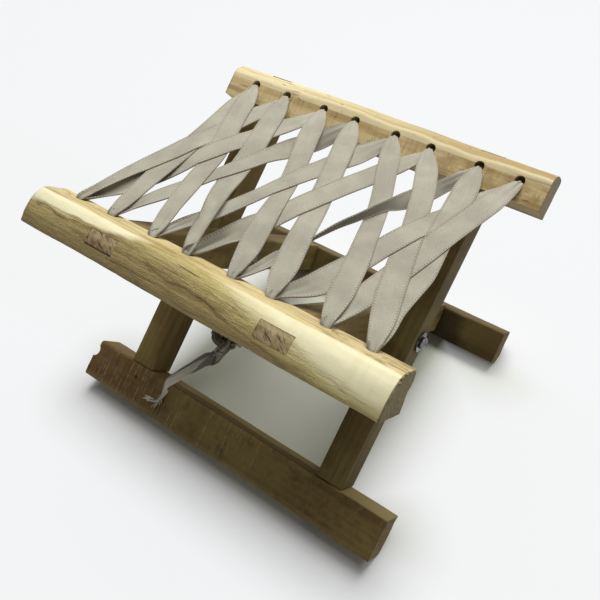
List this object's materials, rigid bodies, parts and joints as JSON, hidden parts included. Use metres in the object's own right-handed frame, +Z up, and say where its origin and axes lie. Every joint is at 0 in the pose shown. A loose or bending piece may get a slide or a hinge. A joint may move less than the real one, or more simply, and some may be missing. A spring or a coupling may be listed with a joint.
{
  "type": "folding stool",
  "caption": "Small folding stool of rough wooden battens: two frames cross on pivot bolts and flat tape laced between drilled top rails makes the seat",
  "frame": {"origin": "middle of the floor under the open stool", "axes": "+X runs along the rails to the right, +Y to the back rail, +Z up"},
  "size_m": [0.333, 0.2894, 0.2391],
  "materials": {
    "pale_wood": "pale half-round rail, bark side planed, satin",
    "golden_wood": "golden rail with faint saw marks, satin",
    "brown_wood": "rough-sawn dark brown batten, matt",
    "zinc": "bright zinc-plated hardware",
    "nail_steel": "dark sunk brads",
    "taupe_tape": "flat woven tape with stitched edges, matt"
  },
  "bodies": {
    "inner_frame": {"front_top_rail": "pale_wood", "back_bottom_rail": "brown_wood", "inner_leg_left": "brown_wood", "inner_leg_right": "brown_wood", "tenon_brad_back_left": "nail_steel", "tenon_brad_back_right": "nail_steel", "seat_lace": "taupe_tape", "lace_knot": "taupe_tape", "lace_tail": "taupe_tape"},
    "outer_frame": {"back_top_rail": "golden_wood", "front_bottom_rail": "brown_wood", "outer_leg_left": "brown_wood", "outer_leg_right": "brown_wood", "tenon_brad_front_left": "nail_steel", "tenon_brad_front_right": "nail_steel", "pivot_bolt_left": "zinc", "pivot_bolt_right": "zinc", "head_washer_left": "zinc", "head_washer_right": "zinc", "spacer_washer_left": "zinc", "spacer_washer_right": "zinc", "nut_washer_left": "zinc", "nut_washer_right": "zinc", "lock_nut_left": "zinc", "lock_nut_right": "zinc"}
  },
  "joints": [
    {"name": "fold", "type": "hinge", "parent": "inner_frame", "child": "outer_frame", "pos_m": [0, 0.00298, 0.1214], "axis": [1, 0, 0], "range_deg": [0, 85], "deforming": ["seat_lace"]}
  ]
}
